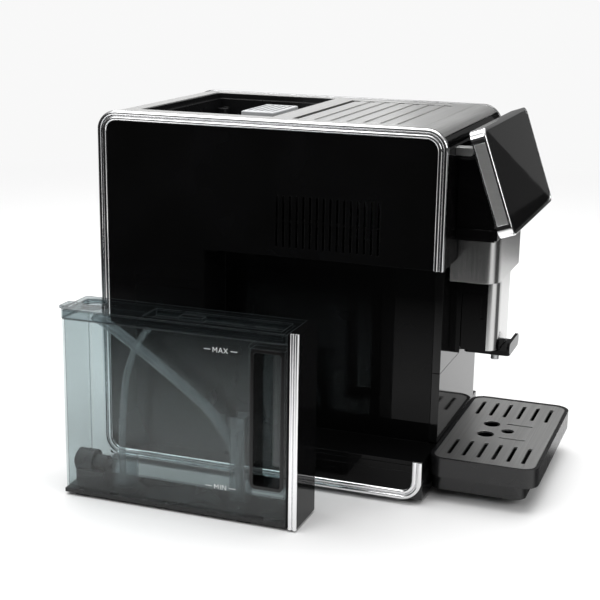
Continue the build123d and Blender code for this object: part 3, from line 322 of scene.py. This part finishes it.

# %% [markdown]
# ## Clear and smoked plastic
# The tank's walls are thin and flat, so they tint what is behind them but hardly
# bend it. A Transparent shader with a trace of haze says just that, and a glossy one
# is mixed in by the fifth power of the angle, so the wall turns to a mirror at a
# glancing angle from both sides. Where a rounded normal leaves the flat one, there is
# a rim, and rims of clear plastic look dark; here that darkness is painted shade, a
# near-black colour made opaque at the rim for the light that the thick edge bends away.

# %% Clear plastics


def see_through(name, tint, body, haze=0.006, gloss=0.03, shine=0.9, rim=0.002):
    f = Finish(name)
    cloud = f.noise(40, detail=2)
    clear = f.node("ShaderNodeBsdfTransparent", {}, {"Color": tone(*tint)})
    flat = f.node("ShaderNodeNewGeometry", output="Normal")
    turned = f.node("ShaderNodeVectorMath", {"operation": "DOT_PRODUCT"},
                    {0: f.soft_edges(rim), 1: flat}, output="Value")
    # painted shade: the rim gets a near-black colour and an opaque share, standing in for light
    # the edge bends away
    painted_rim_shade = f.band(1 - turned, 0.02, 0.12)
    plain = f.blend(cloud, tone(*[c * 0.85 for c in body]), tone(*body))
    solid = f.node("ShaderNodeBsdfPrincipled", {},
                   {"Base Color": f.blend(painted_rim_shade, plain, tone(0.02, 0.025, 0.027)),
                    "Roughness": 0.35 + 0.1 * cloud})
    share = haze * (0.7 + 0.6 * cloud) + 0.8 * painted_rim_shade
    wall = f.node("ShaderNodeMixShader", {}, {0: share, 1: clear, 2: solid})
    mirror = f.node("ShaderNodeBsdfGlossy", {}, {"Color": tone(shine),
                                                 "Roughness": gloss + 0.03 * cloud})
    facing = f.node("ShaderNodeLayerWeight", {}, {"Blend": 0.5}, output="Facing")
    steep = f.node("ShaderNodeMath", {"operation": "POWER"}, {0: facing, 1: 5.0})
    glancing = 0.035 + 0.9 * steep
    return f.output(f.node("ShaderNodeMixShader", {}, {0: glancing, 1: wall, 2: mirror}))


FINISHES["smoked_clear"] = see_through("smoked_clear", (0.79, 0.828, 0.832), (0.2, 0.225, 0.23))
FINISHES["smoked_lid"] = see_through("smoked_lid", (0.66, 0.70, 0.71), (0.1, 0.11, 0.115),
                                     0.02, 0.05)
FINISHES["clear_plastic"] = see_through("clear_plastic", (0.9, 0.93, 0.94), (0.5, 0.53, 0.54),
                                        0.10, 0.05)
FINISHES["clear_hose"] = see_through("clear_hose", (0.82, 0.85, 0.86), (0.5, 0.53, 0.54),
                                     0.3, 0.2)
print("finishes:", len(FINISHES))

# %% [markdown]
# ## Dressing the CAD nodes
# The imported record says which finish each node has. Its slot names are the keys of
# the finishes above, so one loop dresses all of them; steel that was brushed another
# way is then given its own grain.

# %% Dress every node


def wear(piece, material):
    piece.data.materials.clear()
    piece.data.materials.append(material)


for part in frame["record"]["subparts"]:
    wear(nodes[part["node"]], FINISHES[part["material_slot"]])
wear(nodes["head_band"], BAND_STEEL)
wear(nodes["spout_cover"], UPRIGHT_STEEL)
wear(nodes["display_inserts"], INSERT_STEEL)
for name in ("front_panel", "drawer_front"):
    wear(nodes[name], FRONT_GLOSS)
wear(nodes["chassis_frame"], HIDDEN_BLACK)
wear(nodes["tank_grip"], GRIP_GLOSS)
wear(nodes["spout_nozzles"], FINISHES["zinc_steel"])
wear(nodes["grind_knob"], FINISHES["satin_black"])
print("dressed", len(nodes), "nodes")

# %% [markdown]
# ## Chrome trims swept along their path
# Each trim is two round ridges on a flat back. Geometry Nodes sweeps all three along
# one path: the ridges are the path moved sideways, across its own tangent, and given
# a circle; the back gets a rectangle. The path is drawn flat and then stood up.

# %% Trim node group
PATH_CORNER = 16 * MM
ARC_STEPS = 14
RIDGE_SHARE = 0.24         # a ridge's radius as a share of the trim's width
STAND_UP = Matrix(((0, 0, 1, 0), (1, 0, 0, 0), (0, 1, 0, 0), (0, 0, 0, 1)))


def group_input(group, name, kind="NodeSocketFloat"):
    return group.interface.new_socket(name=name, in_out="INPUT", socket_type=kind)


def trim_group():
    """Ridged trim from a path of edges: two ridges and the strip behind them."""
    group = bpy.data.node_groups.new("ridged_trim", "GeometryNodeTree")
    group_input(group, "Path", "NodeSocketGeometry")
    for name in ("Ridge Radius", "Spread", "Back Width", "Back Depth", "Back Offset"):
        group_input(group, name)
    group_input(group, "Material", "NodeSocketMaterial")
    group.interface.new_socket(name="Trim", in_out="OUTPUT", socket_type="NodeSocketGeometry")
    add, link = group.nodes.new, group.links.new
    given = add("NodeGroupInput").outputs

    path = add("GeometryNodeMeshToCurve")
    link(given["Path"], path.inputs["Mesh"])
    upright = add("GeometryNodeSetCurveNormal")
    upright.mode = "Z_UP"
    link(path.outputs["Curve"], upright.inputs["Curve"])

    tangent = add("GeometryNodeInputTangent")
    across = add("ShaderNodeVectorMath")
    across.operation = "CROSS_PRODUCT"
    across.inputs[1].default_value = (0, 0, 1)
    link(tangent.outputs[0], across.inputs[0])

    joined = add("GeometryNodeJoinGeometry")
    for sign in (1, -1):
        reach = add("ShaderNodeMath")
        reach.operation = "MULTIPLY"
        reach.inputs[1].default_value = sign
        link(given["Spread"], reach.inputs[0])
        step = add("ShaderNodeVectorMath")
        step.operation = "SCALE"
        link(across.outputs[0], step.inputs[0])
        link(reach.outputs[0], step.inputs["Scale"])
        moved = add("GeometryNodeSetPosition")
        link(upright.outputs[0], moved.inputs["Geometry"])
        link(step.outputs[0], moved.inputs["Offset"])
        circle = add("GeometryNodeCurvePrimitiveCircle")
        circle.inputs["Resolution"].default_value = 20
        link(given["Ridge Radius"], circle.inputs["Radius"])
        ridge = add("GeometryNodeCurveToMesh")
        ridge.inputs["Fill Caps"].default_value = True
        link(moved.outputs[0], ridge.inputs["Curve"])
        link(circle.outputs["Curve"], ridge.inputs["Profile Curve"])
        smooth = add("GeometryNodeSetShadeSmooth")
        link(ridge.outputs[0], smooth.inputs[0])
        link(smooth.outputs[0], joined.inputs[0])

    lower = add("ShaderNodeCombineXYZ")
    link(given["Back Offset"], lower.inputs["Z"])
    sunk = add("GeometryNodeSetPosition")
    link(upright.outputs[0], sunk.inputs["Geometry"])
    link(lower.outputs[0], sunk.inputs["Offset"])
    strip = add("GeometryNodeCurvePrimitiveQuadrilateral")
    link(given["Back Width"], strip.inputs["Width"])
    link(given["Back Depth"], strip.inputs["Height"])
    back = add("GeometryNodeCurveToMesh")
    back.inputs["Fill Caps"].default_value = True
    link(sunk.outputs[0], back.inputs["Curve"])
    link(strip.outputs["Curve"], back.inputs["Profile Curve"])
    flat = add("GeometryNodeSetShadeSmooth")
    flat.inputs["Shade Smooth"].default_value = False
    link(back.outputs[0], flat.inputs[0])
    link(flat.outputs[0], joined.inputs[0])

    real = add("GeometryNodeRealizeInstances")
    dressed = add("GeometryNodeSetMaterial")
    link(joined.outputs[0], real.inputs[0])
    link(real.outputs[0], dressed.inputs["Geometry"])
    link(given["Material"], dressed.inputs["Material"])
    link(dressed.outputs[0], add("NodeGroupOutput").inputs["Trim"])
    return group


RIDGED = trim_group()


def built(source, group, values):
    """Run a node group on a mesh with named inputs and return a plain mesh."""
    modifier = source.modifiers.new("shape", "NODES")
    modifier.node_group = group
    for item in group.interface.items_tree:
        if item.in_out == "INPUT" and item.name in values:
            modifier[item.identifier] = values[item.name]
    bpy.context.view_layer.update()
    evaluated = source.evaluated_get(bpy.context.evaluated_depsgraph_get())
    mesh = bpy.data.meshes.new_from_object(evaluated)
    source.modifiers.clear()
    outward = bmesh.new()
    outward.from_mesh(mesh)
    bmesh.ops.recalc_face_normals(outward, faces=outward.faces)
    outward.to_mesh(mesh)
    outward.free()
    return mesh


def rounded_path(corners, radius):
    """Points of an open path whose inner corners are arcs."""
    points = [Vector(corners[0])]
    for before, here, after in zip(corners, corners[1:], corners[2:]):
        here = Vector(here)
        come = (here - Vector(before)).normalized()
        leave = (Vector(after) - here).normalized()
        centre = here + (leave - come) * radius
        for step in range(ARC_STEPS + 1):
            angle = math.pi / 2 * step / ARC_STEPS
            points.append(centre + (math.sin(angle) * come - math.cos(angle) * leave) * radius)
    points.append(Vector(corners[-1]))
    return points


def ridged_trim(name, points, face_x, inward, width, depth, body):
    """Trim that replaces the CAD node of the same name; its face looks out along X."""
    radius = width * RIDGE_SHARE
    mesh = bpy.data.meshes.new(name + "_path")
    mesh.from_pydata([(p.x, p.y, 0) for p in points],
                     [(i, i + 1) for i in range(len(points) - 1)], [])
    source = bpy.data.objects.new(name + "_path", mesh)
    bpy.context.scene.collection.objects.link(source)
    back_depth = depth - radius
    shape = built(source, RIDGED, {
        "Ridge Radius": radius, "Spread": width / 2 - radius, "Back Width": width - 0.4 * MM,
        "Back Depth": back_depth, "Back Offset": inward * back_depth / 2,
        "Material": FINISHES["chrome"]})
    bpy.data.objects.remove(source)
    shape.transform(STAND_UP @ Matrix.Translation((0, 0, face_x + inward * radius)))
    piece = bpy.data.objects.new(name + "_ridged", shape)
    bpy.context.scene.collection.objects.link(piece)
    wear(piece, FINISHES["chrome"])
    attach(piece, body)
    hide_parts(name)
    return piece


# %% Side trims and tank trim
TRIM_FACE = 10 * MM
HEAD_STEP = 12.5 * MM
HEAD_BOTTOM = 234.5 * MM
OPEN_ENDS = {"left_trim": 45 * MM, "right_trim": 38 * MM}
for name, inward in (("left_trim", 1), ("right_trim", -1)):
    low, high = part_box(name)
    inset = TRIM_FACE / 2
    front_y = low.y + HEAD_STEP + inset
    outline = [(front_y, OPEN_ENDS[name]), (front_y, low.z + inset),
               (high.y - inset, low.z + inset), (high.y - inset, high.z - inset),
               (low.y + inset, high.z - inset), (low.y + inset, HEAD_BOTTOM)]
    face_x = low.x if inward > 0 else high.x
    ridged_trim(name, rounded_path(outline, PATH_CORNER), face_x, inward, TRIM_FACE,
                high.x - low.x, "machine")
low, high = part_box("tank_trim")
middle_y = (low.y + high.y) / 2
ridged_trim("tank_trim", [Vector((middle_y, low.z)), Vector((middle_y, high.z))], low.x, 1,
            high.y - low.y, high.x - low.x, "tank")
print("trims swept")

# %% [markdown]
# ## Floor and light
# A pale sweep under a big soft lamp, with white behind the machine and darker room
# on the viewer's side, keeps the black plastic black and the chrome lively. The floor
# fades into the white so that no horizon shows. In reflections the same floor is
# dark on the viewer's side and far in front, with one lit wedge: a stand-in for the
# black flags and strip lights that a studio sets round a shiny object.

# %% Floor
floor_reach = 9.0
paper_end, white_start = 0.8, 2.2
lit_from, lit_to = -0.75, -0.3
front_end, front_gone = 0.9, 1.5
FRONT_RIGHT = (0.55, -0.84, 0)
AHEAD = (0.2, -0.98, 0)
FRONT_LEFT = (-0.5, -0.87, 0)
floor_mesh = bpy.data.meshes.new("floor")
floor_mesh.from_pydata([(-floor_reach, -floor_reach, 0), (floor_reach, -floor_reach, 0),
                        (floor_reach, floor_reach, 0), (-floor_reach, floor_reach, 0)],
                       [], [(0, 1, 2, 3)])
floor = bpy.data.objects.new("floor", floor_mesh)
bpy.context.scene.collection.objects.link(floor)

floor_finish = Finish("floor")
grain = floor_finish.noise(8, detail=2)
distance = floor_finish.node("ShaderNodeVectorMath", {"operation": "LENGTH"},
                             {0: floor_finish.place()}, output="Value")
near_floor = floor_finish.band(distance, paper_end, white_start, 1.0, 0.0)
paper = floor_finish.node("ShaderNodeBsdfPrincipled", {},
                          {"Base Color": floor_finish.blend(grain, tone(0.86), tone(0.88)),
                           "Roughness": 0.55, "Specular IOR Level": 0.3})
white_glow = floor_finish.node("ShaderNodeEmission", {}, {"Color": tone(0.94), "Strength": 1.0})
lit_floor = floor_finish.node("ShaderNodeMixShader", {}, {0: near_floor, 1: white_glow, 2: paper})
across = floor_finish.node("ShaderNodeSeparateXYZ", {}, {0: floor_finish.place()}, output=0)
bearing = floor_finish.node("ShaderNodeVectorMath", {"operation": "NORMALIZE"},
                            {0: floor_finish.place()})


def wedge(way, wide, narrow):
    """Share of the floor that lies round a bearing from the machine."""
    lined_up = floor_finish.node("ShaderNodeVectorMath", {"operation": "DOT_PRODUCT"},
                                 {0: bearing, 1: way}, output="Value")
    return floor_finish.band(lined_up, wide, narrow)


far_front = floor_finish.band(distance, front_end, front_gone) * wedge(FRONT_RIGHT, 0.3, 0.6)
lit = floor_finish.band(across, lit_from, lit_to) * (1 - far_front)
lit = lit * (1 - 0.9 * wedge(AHEAD, 0.93, 0.97)) + 0.8 * wedge(FRONT_LEFT, 0.97, 0.99)
mirrored = floor_finish.node("ShaderNodeLightPath", output="Is Glossy Ray")
unlit = mirrored * (1 - floor_finish.band(lit, 0, 1))
dark_room = floor_finish.node("ShaderNodeEmission", {}, {"Color": tone(0.015), "Strength": 1.0})
wear(floor, floor_finish.output(
    floor_finish.node("ShaderNodeMixShader", {}, {0: unlit, 1: lit_floor, 2: dark_room})))

# %% World and lamps
world = bpy.data.worlds.new("studio")
bpy.context.scene.world = world
sky = Finish("studio", world)
looking = sky.node("ShaderNodeTexCoord", output="Generated")
BACKDROP_WAY = (0.94, 0.34, 0.0)
FRONT_ROOM_WAY = (0.91, -0.41, 0.0)


def toward(way):
    """How nearly the room is looked at along a way, from -1 to 1."""
    return sky.node("ShaderNodeVectorMath", {"operation": "DOT_PRODUCT"},
                    {0: looking, 1: way}, output="Value")


front_room = sky.band(toward(FRONT_ROOM_WAY), 0.84, 0.93)
backdrop = sky.band(toward(BACKDROP_WAY), 0.86, 0.97) * (1 - front_room)
room_light = 0.05 + 0.8 * backdrop + 0.8 * sky.band(toward((0, 0, 1)), 0.35, 0.8)
seen = sky.node("ShaderNodeLightPath", output="Is Camera Ray")
glow = seen * 0.94 + (1 - seen) * room_light
room = sky.node("ShaderNodeBackground", {}, {"Color": tone(1.0), "Strength": glow})
sky.node("ShaderNodeOutputWorld", {}, {"Surface": room})


def softbox(name, place, aim, size, power):
    data = bpy.data.lights.new(name, "AREA")
    data.shape = "RECTANGLE"
    data.size, data.size_y = size
    data.energy = power
    lamp = bpy.data.objects.new(name, data)
    lamp.location = place
    lamp.rotation_euler = (Vector(aim) - Vector(place)).to_track_quat("-Z", "Y").to_euler()
    bpy.context.scene.collection.objects.link(lamp)
    return lamp


MACHINE_MIDDLE = (0, 0, 0.15)
softbox("overhead", place=(0.3, 0.1, 2.2), aim=(0.1, 0, 0), size=(2.4, 2.4), power=62)
softbox("left_fill", place=(-1.9, 1.2, 1.5), aim=MACHINE_MIDDLE, size=(1.2, 1.2), power=10)
softbox("front_fill", place=(-0.6, -2.2, 1.2), aim=MACHINE_MIDDLE, size=(1.4, 1.0), power=12)
print("lamps placed")

# %% [markdown]
# ## A card for the display to mirror
# The glass shows a lighter corner behind a diagonal edge. The mirror law says where a
# card must stand for that: three points on the glass are traced from the camera, and
# the card's edge runs through two of the places they reach.

# %% Mirror card
glass_low, glass_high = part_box("display_glass")
lean = math.atan2(glass_high.z - glass_low.z, glass_high.y - glass_low.y)
glass_normal = Vector((0, -math.sin(lean), math.cos(lean)))
glass_middle = (glass_low + glass_high) / 2


def bounced(point):
    """Direction in which the camera sees the room by way of a point on the glass."""
    seen_along = (point - camera_place).normalized()
    return seen_along - 2 * seen_along.dot(glass_normal) * glass_normal


card_way = bounced(glass_middle)
card_middle = glass_middle + card_way


def on_card(point):
    way = bounced(point)
    return point + way * ((card_middle - point).dot(card_way) / way.dot(card_way))


top_left = on_card(Vector((glass_low.x, glass_high.y, glass_high.z)))
low_right = on_card(Vector((glass_high.x, glass_low.y, glass_low.z)))
top_right = on_card(Vector((glass_high.x, glass_high.y, glass_high.z)))
along = (low_right - top_left).normalized()
inward = top_right - top_left
inward = (inward - along * inward.dot(along)).normalized()
spare = along * 0.3
depth = inward * 0.7
card_corners = [top_left - spare, low_right + spare,
                low_right + spare + depth, top_left - spare + depth]
card_mesh = bpy.data.meshes.new("mirror_card")
card_mesh.from_pydata(card_corners, [], [(0, 1, 2, 3)])
card = bpy.data.objects.new("mirror_card", card_mesh)
bpy.context.scene.collection.objects.link(card)
card.visible_camera = False
card.visible_diffuse = False
card.visible_shadow = False
card_finish = Finish("mirror_card")
wear(card, card_finish.output(card_finish.node(
    "ShaderNodeEmission", {}, {"Color": tone(1.0), "Strength": 0.17})))
print("card at", tuple(round(v, 2) for v in card_middle))
